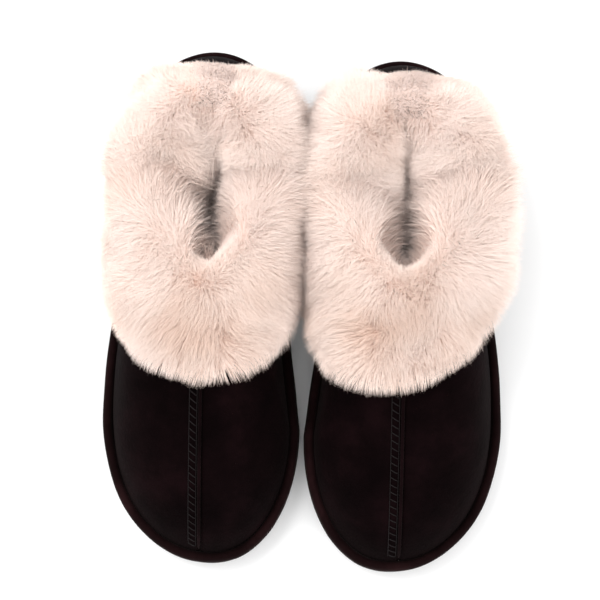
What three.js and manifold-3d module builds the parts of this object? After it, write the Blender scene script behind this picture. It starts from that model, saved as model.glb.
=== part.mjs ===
// A pair of closed-back house slippers with a deep plush collar, in millimetres, +Z up.
// Each slipper is modelled in its own frame: X points to the outer side of the foot, Y from toe to heel,
// and Z = 0 is the ground under the outsole. The right slipper is the mirror image of the left one.
import * as THREE from 'three';
import { mergeVertices } from 'three/addons/utils/BufferGeometryUtils.js';
import Module from 'manifold-3d';

// The pair, set side by side with the toes towards -Y.
const pairGap = 2; // between the widest places of the two inner sides
const pairStagger = 2.8; // the left slipper stands this much further forward

// Sole outline in plan.
const soleLength = 260;
const ballHalfOuter = 50; // from the centre line to the widest point of the ball, outer side
const ballHalfInner = 49.5;
const ballToToeOuter = 75; // from the widest point forward to the toe tip
const ballToToeInner = 68;
const toeTipShift = 6; // the toe tip lies this far towards the big toe
const heelWidth = 70;
const heelShift = 2.6;
const waistHollow = 4; // how far the inner side is drawn in between ball and heel
const toeFullness = 0.58; // share of each toe quarter's sides that its curve handles take

// Sole build-up, from the ground.
const outsoleHeight = 6;
const outsoleEdgeRound = 1.4;
const midsoleHeight = 8.7;
const boardThickness = 2;
const foamThickness = 7;
const coverThickness = 3.5;
const bandWidth = 4.6;
const bandHeight = 14;
const bandLipDrop = 3.2; // height of the rounded lip on top of the band

// Tread grooves under the outsole.
const grooveDepth = 2;
const grooveWidth = 2.6;
const groovePitch = 9;
const grooveWave = 3; // how far each groove zigzags along the foot
const grooveMargin = 8; // left plain along the sole's edge
const archStart = 2; // the arch between these two has no grooves
const archEnd = 42;
const grooveLegs = 2;

// Upper.
const suedeThickness = 1.6;
const liningThickness = 4;
const counterThickness = 1.2;
const stayThickness = 1.4;
const stayHalfWidth = 17;
const bindingThickness = 1;
const bindingLeg = 5; // how far the binding reaches down on each side
const toplineFrontHeight = 78;
const toplineSideHeight = 68;
const toplineHeelHeight = 73;
const toplineFront = 2; // where the topline crosses the centre line
const toplineBack = 104;
const toplineHalfWidth = 33;
const sideLean = THREE.MathUtils.degToRad(40); // how far the profile has turned over at the topline
const toeLean = THREE.MathUtils.degToRad(80);
const toeFlatness = 0.2; // share of straight slope in the profile over the toes
const toplinePull = 0.35; // evens out the places along the topline at the front

// Collar.
const cuffThickness = 13;
const rollThickness = 12;
const heelRollThickness = 7.5;
const collarTip = 2; // thickness at its two edges
const cuffReach = 40; // from the topline down over the vamp
const rollReach = 34;
const heelRollReach = 26;
const collarTuck = 8; // from the topline down inside the shoe

// Centre seam.
const weltWidth = 2.2;
const weltHeight = 1.5;
const seamToeShift = 6; // the seam meets the sole this far to the outside of the toe tip
const weltOffset = 1.5; // from the seam to the middle of the welt
const stitchNear = 0.9; // the ladder of stitches lies between these two distances from the welt
const stitchFar = 4.8;
const stitchPitch = 3.8;
const threadRadius = 0.35;
const seamToeEnd = 0.14; // where the seam's trim ends above the toe, as a place on the profile
const seamUnderCuff = 19; // and how far it runs on under the cuff

// Places of the seams, as shares of the way along the outline from the heel to the toe.
const vampSeam = 0.4; // where the vamp meets the quarter
const cuffSeam = 0.3; // where the front cuff meets the side roll
const counterEnd = 0.2;
const rollFull = 0.25; // from here on the side rolls have their full thickness

// Clearances.
const gap = 0.35; // between neighbouring pieces
const seamGap = 0.4; // between the edges of two panels that meet at a seam
const tuckClear = 0.3; // more room between the lining and what is tucked in beside it
const footbedClear = 0.8; // between the footbed's edge and the lining

// Facets.
const stationCount = 40; // around the whole outline
const profileSteps = 6; // from the sole to the topline
const overSteps = 4; // round the topline
const collarSteps = 4; // up the outside of the collar
const threadSides = 5;

const insoleBase = outsoleHeight + gap + midsoleHeight;
const featherHeight = insoleBase + gap; // where the upper stands on the midsole
const featherInset = bandWidth + gap;
const collarClear = stayThickness + 2 * gap; // the collar passes over the stay and the binding
const bandBase = outsoleHeight + gap;
const bandTop = bandBase + bandHeight;
const heelY = soleLength / 2;
const toeY = -soleLength / 2;

const wasm = await Module();
wasm.setup();

const palette = {
  rubber: { color: 0x1c1817, roughness: 0.75 },
  foam: { color: 0xd8d2c8, roughness: 0.95 },
  board: { color: 0xb59a76, roughness: 0.9 },
  band: { color: 0x2a1d1e, roughness: 0.7 },
  suede: { color: 0x16100f, roughness: 0.95 },
  thread: { color: 0x2b2425, roughness: 0.7 },
  fleece: { color: 0xd9c9c2, roughness: 1 },
  counter: { color: 0x9c9488, roughness: 0.8 },
  tape: { color: 0xcbb5aa, roughness: 0.9 },
  plush: { color: 0xf3dccf, roughness: 1 },
};

// ---- plan outline ----

const v2 = (x, y) => new THREE.Vector2(x, y);

/** One side of the sole outline, from the back of the heel to the toe tip. side is 1 outer, -1 inner. */
function halfOutline(side) {
  const heelRadius = heelWidth / 2;
  const ballX = side * (side > 0 ? ballHalfOuter : ballHalfInner);
  const toeReach = side > 0 ? ballToToeOuter : ballToToeInner;
  const heelSide = v2(side * heelRadius - heelShift, heelY - heelRadius);
  const ball = v2(ballX, toeY + toeReach);
  const toe = v2(-toeTipShift, toeY);
  const sideRun = heelSide.y - ball.y;
  const waist = side > 0 ? 0 : waistHollow;
  const heelArc = side > 0
    ? new THREE.EllipseCurve(-heelShift, heelSide.y, heelRadius, heelRadius, Math.PI / 2, 0, true)
    : new THREE.EllipseCurve(-heelShift, heelSide.y, heelRadius, heelRadius, Math.PI / 2, Math.PI, false);
  const path = new THREE.CurvePath();
  path.add(heelArc);
  path.add(new THREE.CubicBezierCurve(
    heelSide,
    v2(heelSide.x, heelSide.y - sideRun * 0.4),
    v2(ball.x + waist * 2, ball.y + sideRun * 0.4),
    ball,
  ));
  path.add(new THREE.CubicBezierCurve(
    ball,
    v2(ball.x, ball.y - toeReach * toeFullness),
    v2(toe.x + (ball.x - toe.x) * toeFullness, toe.y),
    toe,
  ));
  return path;
}

const outerOutline = halfOutline(1);
const innerOutline = halfOutline(-1);
const seamShift = seamToeShift / (outerOutline.getLength() + innerOutline.getLength());

/** The share of the way from the heel to the toe, on either side. */
const shareAt = (t) => 1 - Math.abs(1 - 2 * THREE.MathUtils.euclideanModulo(t, 1));

/** t runs once round the outline: 0 at the heel, 0.25 on the outer side, 0.5 at the centre seam. */
function outlineAt(t) {
  const shift = seamShift * THREE.MathUtils.smoothstep(shareAt(t), 0.6, 1);
  const turn = THREE.MathUtils.euclideanModulo(t - shift, 1);
  return turn <= 0.5 ? outerOutline.getPoint(2 * turn) : innerOutline.getPoint(2 - 2 * turn);
}

/** A point of the outline moved inwards. */
function insetAt(t, inset) {
  const step = 1e-3;
  const along = outlineAt(t + step).sub(outlineAt(t - step)).normalize();
  const point = outlineAt(t);
  return v2(point.x + along.y * inset, point.y - along.x * inset);
}

// ---- the upper's surface ----

/** Half the topline as seen from above is an oval; this is the angle round it, 0 at the heel. */
function toplineAngle(t) {
  const turn = THREE.MathUtils.euclideanModulo(t, 1);
  const share = turn <= 0.5 ? 2 * turn : 2 - 2 * turn;
  const eased = toplinePull * share + (1 - toplinePull) * (1 - (1 - share) ** 2);
  return (turn <= 0.5 ? 1 : -1) * Math.PI * eased;
}

/** The topline: where the suede ends and the collar turns over. */
function toplineAt(t) {
  const angle = toplineAngle(t);
  const halfLength = (toplineBack - toplineFront) / 2;
  const back = Math.max(0, Math.cos(angle)) ** 2;
  const front = Math.max(0, -Math.cos(angle)) ** 2;
  const height = toplineSideHeight
    + (toplineHeelHeight - toplineSideHeight) * back
    + (toplineFrontHeight - toplineSideHeight) * front;
  const middle = (toplineBack + toplineFront) / 2;
  return new THREE.Vector3(
    toplineHalfWidth * Math.sin(angle) - heelShift / 2,
    middle + halfLength * Math.cos(angle),
    height,
  );
}

/** The suede's outer surface: s is 0 at the sole and 1 at the topline. */
function surfaceAt(t, s) {
  const toeward = THREE.MathUtils.smoothstep(shareAt(t), 0.25, 0.8);
  const lean = THREE.MathUtils.lerp(sideLean, toeLean, toeward);
  const flat = toeFlatness * toeward;
  const inwards = (1 - Math.cos(s * lean)) / (1 - Math.cos(lean));
  const upwards = (1 - flat) * Math.sin(s * lean) / Math.sin(lean) + flat * inwards;
  const foot = insetAt(t, featherInset);
  const top = toplineAt(t);
  return new THREE.Vector3(
    THREE.MathUtils.lerp(foot.x, top.x, inwards),
    THREE.MathUtils.lerp(foot.y, top.y, inwards),
    THREE.MathUtils.lerp(featherHeight, top.z, upwards),
  );
}

function alongOutline(t, s) {
  const step = 1e-3;
  return surfaceAt(t + step, s).sub(surfaceAt(t - step, s)).divideScalar(2 * step);
}

function alongProfile(t, s) {
  const step = 1e-3;
  return surfaceAt(t, s + step).sub(surfaceAt(t, s - step)).divideScalar(2 * step);
}

/** The outward normal of the suede's surface. */
function normalAt(t, s) {
  return alongProfile(t, s).cross(alongOutline(t, s)).normalize();
}

/** A point at some depth under the suede's outer surface; a negative depth is outside it. */
function layerAt(t, s, depth) {
  return surfaceAt(t, s).addScaledVector(normalAt(t, s), -depth);
}

/** How far down the lining starts: it makes room for the counter round the heel. */
function liningDepth(t) {
  const room = 1 - THREE.MathUtils.smoothstep(shareAt(t), counterEnd * 1.1, vampSeam * 0.9);
  return suedeThickness + gap + room * (counterThickness + gap);
}

const shellDepth = (t) => liningDepth(t) + liningThickness;

/** The place on the profile that lies some way down from the topline, measured along the surface. */
function placeBelowTopline(t, distance) {
  const step = 0.01;
  let place = 1;
  let left = distance;
  let point = surfaceAt(t, place);
  while (left > 0 && place > 0) {
    const next = surfaceAt(t, place - step);
    const length = next.distanceTo(point);
    place -= step * Math.min(1, left / length);
    left -= length;
    point = next;
  }
  return place;
}

/** The path that goes up the outside, over the topline and down inside. Each place on it is a
 *  function of the distance off the suede and the lining. */
function wrapPath(t, reach, tuck, outsideSteps) {
  const low = placeBelowTopline(t, reach);
  const inside = placeBelowTopline(t, tuck);
  const path = [];
  for (let i = 0; i < outsideSteps; i += 1) {
    const s = THREE.MathUtils.lerp(low, 1, i / outsideSteps);
    path.push((off) => layerAt(t, s, -off));
  }
  const top = surfaceAt(t, 1);
  const out = normalAt(t, 1);
  const onwards = alongProfile(t, 1).normalize();
  const middle = top.clone().addScaledVector(out, -shellDepth(t) / 2);
  for (let i = 0; i <= overSteps; i += 1) {
    const turn = Math.PI * i / overSteps;
    path.push((off) => middle.clone()
      .addScaledVector(out, Math.cos(turn) * (shellDepth(t) / 2 + off))
      .addScaledVector(onwards, Math.sin(turn) * (shellDepth(t) / 2 + off)));
  }
  path.push((off) => layerAt(t, inside, shellDepth(t) + off + tuckClear));
  return path;
}

// ---- solids ----

function geometryFrom(points, faces) {
  const geometry = new THREE.BufferGeometry();
  geometry.setAttribute('position', new THREE.Float32BufferAttribute(points.flatMap((p) => p.toArray()), 3));
  geometry.setIndex(faces);
  geometry.computeVertexNormals();
  return geometry;
}

/** Signed volume of a closed mesh: negative when its faces point inwards. */
function signedVolume(points, faces) {
  let sum = 0;
  for (let i = 0; i < faces.length; i += 3) {
    const [a, b, c] = [points[faces[i]], points[faces[i + 1]], points[faces[i + 2]]];
    sum += a.dot(b.clone().cross(c));
  }
  return sum / 6;
}

/** The triangles that close a layer's end: its outer and inner points face each other in pairs. */
function layerCap(count) {
  const triangles = [];
  for (let j = 0; j < count / 2 - 1; j += 1) {
    triangles.push([j, j + 1, count - 2 - j], [j, count - 2 - j, count - 1 - j]);
  }
  return triangles;
}

/** The triangles that close the end of a loop, which is also given laid flat. */
function flatCap(shape) {
  const triangles = THREE.ShapeUtils.triangulateShape(shape, []);
  return THREE.ShapeUtils.isClockWise(shape) ? triangles.map(([a, b, c]) => [a, c, b]) : triangles;
}

/** Joins sections of equal point count into one closed solid, with the same cap on its two ends.
 *  Without a cap it is a ring. From the point numbered turned on, the quads are split along their
 *  other diagonal, so that the two faces of a thin layer, and of its neighbours, bend alike. */
function loft(sections, { cap = null, turned = Infinity } = {}) {
  const count = sections[0].length;
  const points = sections.flat();
  const faces = [];
  const last = cap ? sections.length - 1 : sections.length;
  for (let i = 0; i < last; i += 1) {
    const here = i * count;
    const there = ((i + 1) % sections.length) * count;
    for (let j = 0; j < count; j += 1) {
      const k = (j + 1) % count;
      if (j < turned) faces.push(here + j, here + k, there + j, here + k, there + k, there + j);
      else faces.push(here + j, here + k, there + k, here + j, there + k, there + j);
    }
  }
  const end = (sections.length - 1) * count;
  for (const [a, b, c] of cap ?? []) faces.push(a, c, b, end + a, end + b, end + c);
  if (signedVolume(points, faces) < 0) {
    for (let i = 0; i < faces.length; i += 3) [faces[i], faces[i + 1]] = [faces[i + 1], faces[i]];
  }
  return geometryFrom(points, faces);
}

const stayEdge = stayHalfWidth / alongOutline(0, 0).length();
const seamPlaces = [stayEdge, counterEnd / 2, cuffSeam / 2, vampSeam / 2];

/** All pieces share these places round the outline, so that their facets stay apart: evenly spaced
 *  ones, and the places of the seams in the stead of the ones next to them. */
const stations = (() => {
  const fixed = seamPlaces.flatMap((t) => [t, 1 - t]);
  const even = Array.from({ length: stationCount }, (_, i) => i / stationCount)
    .filter((t) => fixed.every((seam) => Math.abs(t - seam) > 0.4 / stationCount));
  return [...even, ...fixed].sort((a, b) => a - b);
})();

/** The stations between two places. The first place may lie before the heel, at a negative t. */
function stationsBetween(from, to) {
  const near = 1e-6;
  return [...stations.map((t) => t - 1), ...stations].filter((t) => t > from + near && t < to - near);
}

/** A level loop of the outline at one height. */
function outlineLoop(inset, height) {
  return stations.map((t) => {
    const point = insetAt(t, inset);
    return new THREE.Vector3(point.x, point.y, height);
  });
}

/** A level loop that follows the inside of the lining's facets at one height. */
function insideLoop(height) {
  return stations.map((t) => {
    const depth = shellDepth(t);
    let step = 1;
    while (layerAt(t, step / profileSteps, depth).z < height) step += 1;
    const below = layerAt(t, (step - 1) / profileSteps, depth);
    const above = layerAt(t, step / profileSteps, depth);
    const wall = below.lerp(above, THREE.MathUtils.clamp((height - below.z) / (above.z - below.z), 0, 1));
    const inwards = normalAt(t, 0).setZ(0).normalize();
    return wall.addScaledVector(inwards, -footbedClear).setZ(height);
  });
}

/** A plate or a block made of level loops, from the lowest to the highest. */
function stack(loops) {
  return loft(loops, { cap: flatCap(loops[0].map((p) => v2(p.x, p.y))) });
}

/** The sections of a panel between two places: its two edges stop half a seam gap short of them. */
function panelStations(from, to) {
  const edge = (place, way) => (s) => place + way * (seamGap / 2) / alongOutline(place, s).length();
  return [edge(from, 1), ...stationsBetween(from, to).map((t) => () => t), edge(to, -1)];
}

/** A panel of the upper: one layer between two depths, from one place round it to another. */
function panel(from, to, outerDepth, innerDepth, { low = 0, high = 1 } = {}) {
  const levels = Array.from({ length: profileSteps + 1 }, (_, i) => i / profileSteps)
    .filter((s) => s > low + 0.02 && s < high - 0.02);
  levels.unshift(low);
  levels.push(high);
  const sections = panelStations(from, to).map((placeAt) => {
    const outside = levels.map((s) => layerAt(placeAt(s), s, outerDepth(placeAt(s))));
    const inside = levels.map((s) => layerAt(placeAt(s), s, innerDepth(placeAt(s))));
    return [...outside, ...inside.reverse()];
  });
  return loft(sections, { cap: layerCap(2 * levels.length), turned: levels.length });
}

/** A bar along a path on the suede: across is the distance from the centre line, height is off the suede. */
function trimAlong(path, section) {
  const centre = 0.5;
  const onSuede = ({ s, across }) => {
    const t = centre - across / alongOutline(centre, s).length();
    return { point: surfaceAt(t, s), out: normalAt(t, s) };
  };
  const places = path.map(onSuede);
  const sections = places.map(({ point, out }, i) => {
    const before = places[Math.max(0, i - 1)].point;
    const after = places[Math.min(places.length - 1, i + 1)].point;
    const sideways = after.clone().sub(before).cross(out).normalize();
    return section.map(([x, z]) => point.clone().addScaledVector(sideways, x).addScaledVector(out, z));
  });
  return loft(sections, { cap: flatCap(section.map(([x, z]) => v2(x, z))) });
}

// ---- boolean cuts ----

function manifoldOf(geometry) {
  const bare = geometry.clone();
  bare.deleteAttribute('normal');
  bare.deleteAttribute('uv');
  const merged = mergeVertices(bare, 1e-4);
  return new wasm.Manifold(new wasm.Mesh({
    numProp: 3,
    vertProperties: new Float32Array(merged.attributes.position.array),
    triVerts: new Uint32Array(merged.index.array),
  }));
}

function geometryOf(manifold) {
  const mesh = manifold.getMesh();
  const geometry = new THREE.BufferGeometry();
  geometry.setAttribute('position', new THREE.BufferAttribute(new Float32Array(mesh.vertProperties), 3));
  geometry.setIndex(new THREE.BufferAttribute(new Uint32Array(mesh.triVerts), 1));
  geometry.computeVertexNormals();
  return geometry;
}

// ---- sole ----

/** Half-widths of the sole across one line, without its plain margin. */
function treadSpan(y) {
  const loop = outlineLoop(grooveMargin, 0);
  const crossings = [];
  loop.forEach((a, i) => {
    const b = loop[(i + 1) % loop.length];
    if ((a.y - y) * (b.y - y) < 0) crossings.push(a.x + (b.x - a.x) * (y - a.y) / (b.y - a.y));
  });
  return crossings.sort((a, b) => a - b);
}

/** One zigzag groove across the sole, as a bar that sticks out below it. */
function grooveBar(y, [left, right]) {
  const zigzag = (shift) => Array.from({ length: grooveLegs + 1 }, (_, i) => v2(
    THREE.MathUtils.lerp(left, right, i / grooveLegs),
    y + shift + (i % 2 === 0 ? -grooveWave / 2 : grooveWave / 2),
  ));
  const outline = new THREE.Shape([...zigzag(-grooveWidth / 2), ...zigzag(grooveWidth / 2).reverse()]);
  const bar = new THREE.ExtrudeGeometry(outline, { depth: 2 * grooveDepth, bevelEnabled: false });
  return bar.translate(0, 0, -grooveDepth);
}

function outsole() {
  const blank = stack([
    outlineLoop(outsoleEdgeRound, 0),
    outlineLoop(0, outsoleEdgeRound),
    outlineLoop(0, outsoleHeight),
  ]);
  let solid = manifoldOf(blank);
  const firstGroove = toeY + 2 * groovePitch;
  for (let y = firstGroove; y < heelY - 1.5 * groovePitch; y += groovePitch) {
    if (y > archStart && y < archEnd) continue;
    const span = treadSpan(y);
    solid = solid.subtract(manifoldOf(grooveBar(y, span)));
  }
  return geometryOf(solid);
}

const midsole = () => stack([
  outlineLoop(featherInset, bandBase),
  outlineLoop(featherInset, insoleBase),
]);

/** The rounded rim round the sole that the upper stands inside. */
function foxingBand() {
  const profile = [
    [0, bandBase], [0, bandTop - bandLipDrop], [bandWidth * 0.18, bandTop - bandLipDrop * 0.3],
    [bandWidth * 0.5, bandTop], [bandWidth * 0.82, bandTop - bandLipDrop * 0.3],
    [bandWidth, bandTop - bandLipDrop], [bandWidth, bandBase],
  ];
  const sections = stations.map((t) => profile.map(([inset, height]) => {
    const point = insetAt(t, inset);
    return new THREE.Vector3(point.x, point.y, height);
  }));
  return loft(sections);
}

const boardBase = featherHeight;
const foamBase = boardBase + boardThickness + gap;
const coverBase = foamBase + foamThickness + gap;

const footbedLayer = (base, thickness) => stack([insideLoop(base), insideLoop(base + thickness)]);

// ---- upper ----

const suedeOuter = () => 0;
const suedeInner = () => suedeThickness;

const vampLateral = () => panel(vampSeam / 2, 0.5, suedeOuter, suedeInner);
const vampMedial = () => panel(0.5, 1 - vampSeam / 2, suedeOuter, suedeInner);
const quarterLateral = () => panel(0, vampSeam / 2, suedeOuter, suedeInner);
const quarterMedial = () => panel(-vampSeam / 2, 0, suedeOuter, suedeInner);
const vampLining = () => panel(vampSeam / 2, 1 - vampSeam / 2, liningDepth, shellDepth);
const quarterLining = () => panel(-vampSeam / 2, vampSeam / 2, liningDepth, shellDepth);

function heelCounter() {
  const outer = () => suedeThickness + gap;
  const inner = () => suedeThickness + gap + counterThickness;
  return panel(-counterEnd / 2, counterEnd / 2, outer, inner, { high: 0.7 });
}

function backStay() {
  const outer = () => -gap - stayThickness;
  const inner = () => -gap;
  return panel(-stayEdge, stayEdge, outer, inner, { low: 0.2, high: 0.9 });
}

/** A tape folded over the edge of suede and lining. */
function toplineBinding() {
  const sections = stations.map((t) => {
    const path = wrapPath(t, bindingLeg, bindingLeg, 1);
    const outside = path.map((at) => at(gap + bindingThickness));
    return [...outside, ...path.map((at) => at(gap)).reverse()];
  });
  return loft(sections, { turned: sections[0].length / 2 });
}

/** One piece of the collar: a thick soft band that lies on the suede and turns over the topline. */
function collar(from, to, thicknessAt, reachAt) {
  const edgeShift = (place) => seamGap / 2 / alongOutline(place, 1).length();
  const places = [from + edgeShift(from), ...stationsBetween(from, to), to - edgeShift(to)];
  const sections = places.map((t) => {
    const path = wrapPath(t, reachAt(t), collarTuck, collarSteps);
    const thickness = path.map((_, i) => {
      const swell = Math.sin(Math.PI * (i / (path.length - 1)) ** 0.8) ** 0.6;
      return collarTip + (thicknessAt(t) - collarTip) * (swell || 0);
    });
    return [
      ...path.map((at, i) => at(collarClear + thickness[i])),
      ...path.map((at) => at(collarClear)).reverse(),
    ];
  });
  const count = sections[0].length;
  return loft(sections, { cap: layerCap(count), turned: count / 2 });
}

/** 1 at the back of the heel, falling to 0 where the side rolls are full. */
const heelShare = (t) => 1 - THREE.MathUtils.smoothstep(shareAt(t), 0, rollFull);

const rollThicknessAt = (t) => THREE.MathUtils.lerp(rollThickness, heelRollThickness, heelShare(t));
const rollReachAt = (t) => THREE.MathUtils.lerp(rollReach, heelRollReach, heelShare(t));

const collarLateral = () => collar(0, cuffSeam / 2, rollThicknessAt, rollReachAt);
const collarMedial = () => collar(-cuffSeam / 2, 0, rollThicknessAt, rollReachAt);
const collarFront = () => collar(cuffSeam / 2, 1 - cuffSeam / 2, () => cuffThickness, () => cuffReach);

/** The places that the centre seam runs through, a steady distance apart. */
function centreSeamPlaces(pitch) {
  const seamCuffEnd = placeBelowTopline(0.5, cuffReach - seamUnderCuff);
  const places = [];
  let s = seamToeEnd;
  while (s < seamCuffEnd) {
    places.push(s);
    s += pitch / alongProfile(0.5, s).length();
  }
  return places;
}

/** The raised welt beside the centre seam. side is 1 for the left foot: both welts lie to the -X side. */
function centreWelt(side) {
  const half = weltWidth / 2;
  const section = [
    [-half, gap], [half, gap], [half, gap + weltHeight * 0.6],
    [0, gap + weltHeight], [-half, gap + weltHeight * 0.6],
  ];
  const path = centreSeamPlaces(2 * stitchPitch).map((s) => ({ s, across: -side * weltOffset }));
  return trimAlong(path, section);
}

/** The overlock thread on the far side of the welt, running to and fro. */
function centreStitching(side) {
  const path = centreSeamPlaces(stitchPitch / 2).map((s, i) => ({
    s,
    across: -side * (weltOffset + weltWidth / 2 + (i % 2 === 0 ? stitchNear : stitchFar)),
  }));
  const section = Array.from({ length: threadSides }, (_, i) => [
    threadRadius * Math.cos(2 * Math.PI * i / threadSides),
    gap + threadRadius * (1 + Math.sin(2 * Math.PI * i / threadSides)),
  ]);
  return trimAlong(path, section);
}

// ---- assembly ----

function piece(name, geometry, finish) {
  const material = new THREE.MeshStandardMaterial({ ...palette[finish], metalness: 0 });
  const mesh = new THREE.Mesh(geometry, material);
  mesh.name = name;
  return mesh;
}

/** How far a slipper reaches from its centre line to its inner side. */
function innerReach() {
  const collar = collarFront();
  collar.computeBoundingBox();
  return Math.max(ballHalfInner, -collar.boundingBox.min.x);
}

const pairSpacing = 2 * innerReach() + pairGap;

/** One slipper. side is 1 for the left foot and -1 for the right, which mirrors it. */
function slipper(side) {
  const prefix = side > 0 ? 'left' : 'right';
  const parts = [
    ['outsole', outsole(), 'rubber'],
    ['midsole', midsole(), 'foam'],
    ['foxing_band', foxingBand(), 'band'],
    ['insole_board', footbedLayer(boardBase, boardThickness), 'board'],
    ['footbed_foam', footbedLayer(foamBase, foamThickness), 'foam'],
    ['footbed_cover', footbedLayer(coverBase, coverThickness), 'fleece'],
    ['vamp_lateral', vampLateral(), 'suede'],
    ['vamp_medial', vampMedial(), 'suede'],
    ['quarter_lateral', quarterLateral(), 'suede'],
    ['quarter_medial', quarterMedial(), 'suede'],
    ['heel_counter', heelCounter(), 'counter'],
    ['back_stay', backStay(), 'suede'],
    ['vamp_lining', vampLining(), 'fleece'],
    ['quarter_lining', quarterLining(), 'fleece'],
    ['topline_binding', toplineBinding(), 'tape'],
    ['centre_welt', centreWelt(side), 'suede'],
    ['centre_stitching', centreStitching(side), 'thread'],
    ['collar_front', collarFront(), 'plush'],
    ['collar_lateral', collarLateral(), 'plush'],
    ['collar_medial', collarMedial(), 'plush'],
  ];
  const group = new THREE.Group();
  for (const [name, geometry, finish] of parts) group.add(piece(`${prefix}_${name}`, geometry, finish));
  group.scale.x = side;
  group.position.set(side * pairSpacing / 2, -side * pairStagger / 2, 0);
  return group;
}

const pair = new THREE.Group();
pair.add(slipper(1), slipper(-1));

export default pair;
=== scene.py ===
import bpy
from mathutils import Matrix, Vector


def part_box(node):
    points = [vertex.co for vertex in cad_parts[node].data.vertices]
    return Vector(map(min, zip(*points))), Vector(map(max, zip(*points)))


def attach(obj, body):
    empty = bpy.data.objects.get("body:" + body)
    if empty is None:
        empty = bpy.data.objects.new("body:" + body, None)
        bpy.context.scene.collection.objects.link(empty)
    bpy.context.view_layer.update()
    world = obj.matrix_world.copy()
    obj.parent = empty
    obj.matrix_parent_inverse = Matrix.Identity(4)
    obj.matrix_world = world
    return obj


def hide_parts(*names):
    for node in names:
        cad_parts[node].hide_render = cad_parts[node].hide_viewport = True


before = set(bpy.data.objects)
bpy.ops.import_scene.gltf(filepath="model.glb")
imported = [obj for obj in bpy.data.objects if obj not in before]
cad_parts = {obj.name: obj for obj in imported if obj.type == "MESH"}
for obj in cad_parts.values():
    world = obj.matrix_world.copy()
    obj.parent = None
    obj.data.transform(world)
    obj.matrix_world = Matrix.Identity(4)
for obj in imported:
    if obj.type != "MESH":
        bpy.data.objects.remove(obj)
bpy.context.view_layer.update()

import math

import bpy
import numpy as np
from bpy.props import FloatProperty, FloatVectorProperty, IntProperty, PointerProperty
from mathutils import Vector
from mathutils.kdtree import KDTree

bl_info = {
    "name": "Plush House Slippers",
    "version": (1, 0, 0),
    "blender": (4, 5, 0),
    "location": "View3D > Sidebar > Slippers",
    "description": "Builds a pair of suede house slippers with a deep plush collar",
    "category": "Add Mesh",
}

# Shape functions work in millimetres in one slipper's own frame: X to the outer side of the foot,
# Y from toe to heel, Z up from the ground. put_down() mirrors and places a slipper, in metres.
MM = 0.001
SIDES = {"left": 1, "right": -1}


def cad_box(node):
    """A CAD piece's lowest and highest corners, in millimetres."""
    low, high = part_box(node)
    return np.array(low) / MM, np.array(high) / MM


LEFT_SOLE = cad_box("left_outsole")
RIGHT_SOLE = cad_box("right_outsole")
PAIR_STAGGER = (RIGHT_SOLE[0] - LEFT_SOLE[0])[1]
SOLE_LENGTH = round((LEFT_SOLE[1] - LEFT_SOLE[0])[1], 1)
BAND_BOX = cad_box("left_foxing_band")
COVER_BOX = cad_box("left_footbed_cover")

# Sole outline in plan.
BALL_HALF = {1: 50.0, -1: 49.5}
BALL_TO_TOE = {1: 75.0, -1: 68.0}
TOE_TIP_SHIFT = 6.0
HEEL_WIDTH = 70.0
HEEL_SHIFT = 2.6
WAIST_HOLLOW = 4.0
TOE_FULLNESS = 0.58
SEAM_TOE_SHIFT = 6.0
BALL_SHIFT = (BALL_HALF[1] - BALL_HALF[-1]) / 2  # of the sole's middle to the outer side
HALF_SPACING = round((LEFT_SOLE[0][0] + LEFT_SOLE[1][0]) / 2 - BALL_SHIFT, 1)
OUTSOLE_HEIGHT = round(LEFT_SOLE[1][2], 3)

# Upper, from the sole to the topline.
FEATHER_INSET = 4.95
FEATHER_HEIGHT = 15.4
TOPLINE_FRONT, TOPLINE_BACK, TOPLINE_HALF = 2.0, 104.0, 33.0
TOPLINE_HEIGHT = {"side": 68.0, "heel": 73.0, "front": 78.0}
TOPLINE_PULL = 0.35
SIDE_LEAN, TOE_LEAN = math.radians(40), math.radians(80)
TOE_FLATNESS = 0.2
SUEDE, LINING, COUNTER, GAP = 1.6, 4.0, 1.2, 0.35
STAY_THICKNESS, STAY_HALF_WIDTH = 1.4, 17.0
TUCK_CLEAR = 0.3
COLLAR_CLEAR = STAY_THICKNESS + 2 * GAP
VAMP_SEAM, CUFF_SEAM = 0.2, 0.15  # places round the outline
SEAM_GAP = 0.08

# Facets of the finished pieces.
ROUND_STEPS = 260
PROFILE_STEPS = 40


# ---- small helpers ----

def smoothstep(x, low, high):
    x = np.clip((np.asarray(x, float) - low) / (high - low), 0, 1)
    return x * x * (3 - 2 * x)


def lerp(a, b, share):
    return a + (b - a) * share


def bump(x, middle, spread):
    """1 at the middle, falling away to both sides over about the spread."""
    return np.exp(-((x - middle) / spread) ** 2)


def unit(v):
    return v / np.maximum(np.linalg.norm(v, axis=-1, keepdims=True), 1e-12)


class Waves:
    """A smooth random field: seeded sine waves of about one wavelength, in millimetres."""

    def __init__(self, seed, wavelength, terms=14):
        rng = np.random.default_rng(seed)
        self.k = unit(rng.normal(size=(terms, 3))) * 2 * np.pi / wavelength
        self.k *= rng.uniform(0.6, 1.5, (terms, 1))
        self.phase = rng.uniform(0, 2 * np.pi, terms)

    def __call__(self, points):
        return np.sin(points @ self.k.T + self.phase).sum(-1) / math.sqrt(len(self.phase) / 2)


def wave_vector(seed, wavelength, points):
    return np.stack([Waves(seed + i, wavelength)(points) for i in range(3)], -1)


# ---- plan outline ----

def bezier(a, b, c, d, count=600):
    u = np.linspace(0, 1, count)[:, None]
    return a * (1 - u) ** 3 + 3 * b * u * (1 - u) ** 2 + 3 * c * u * u * (1 - u) + d * u ** 3


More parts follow.
